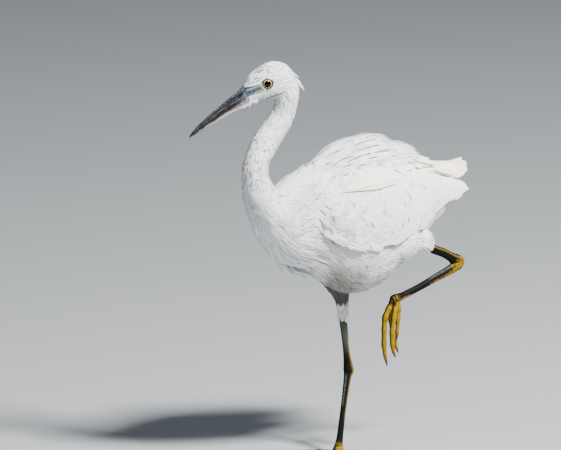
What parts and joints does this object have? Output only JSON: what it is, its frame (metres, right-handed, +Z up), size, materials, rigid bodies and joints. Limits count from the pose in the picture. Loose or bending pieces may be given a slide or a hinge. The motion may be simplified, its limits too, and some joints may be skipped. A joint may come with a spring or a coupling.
{
  "type": "little egret",
  "caption": "Still, life-size little egret wading on one leg, the other foot lifted clear, head turned a little aside.",
  "frame": {"origin": "on the floor, at the middle of the flat underside of the right foot, which carries the bird", "axes": "+Z up, -X the way the bird's body faces, -Y its left side"},
  "size_m": [0.33, 0.119, 0.4425],
  "materials": {
    "plumage": "soft white feathers, matt; fabric stands in for plumage",
    "bill_horn": "satin slate-grey horn",
    "bill_pale": "satin pale horn, darker to the tip",
    "eye": "wet pale yellow eye with a black pupil",
    "leg_dark": "satin black-brown scaled skin with yellow along the back",
    "toe_yellow": "satin yellow scaled skin",
    "claw": "satin brown horn"
  },
  "bodies": {
    "root": {"torso": "plumage", "neck_lower": "plumage", "neck_middle": "plumage", "neck_upper": "plumage", "head": "plumage", "tail": "plumage", "bill_upper": "bill_horn", "bill_lower": "bill_pale", "wing_left": "plumage", "wing_right": "plumage", "eye_left": "eye", "eye_right": "eye", "thigh_left": "plumage", "thigh_right": "plumage", "tibia_left": "leg_dark", "tibia_right": "leg_dark", "tarsus_left": "leg_dark", "tarsus_right": "leg_dark", "foot_left": "toe_yellow", "foot_right": "toe_yellow", "toe_left_middle": "toe_yellow", "toe_left_outer": "toe_yellow", "toe_left_inner": "toe_yellow", "toe_left_hind": "toe_yellow", "toe_right_middle": "toe_yellow", "toe_right_outer": "toe_yellow", "toe_right_inner": "toe_yellow", "toe_right_hind": "toe_yellow", "claw_left_middle": "claw", "claw_left_outer": "claw", "claw_left_inner": "claw", "claw_left_hind": "claw", "claw_right_middle": "claw", "claw_right_outer": "claw", "claw_right_inner": "claw", "claw_right_hind": "claw"}
  },
  "joints": []
}
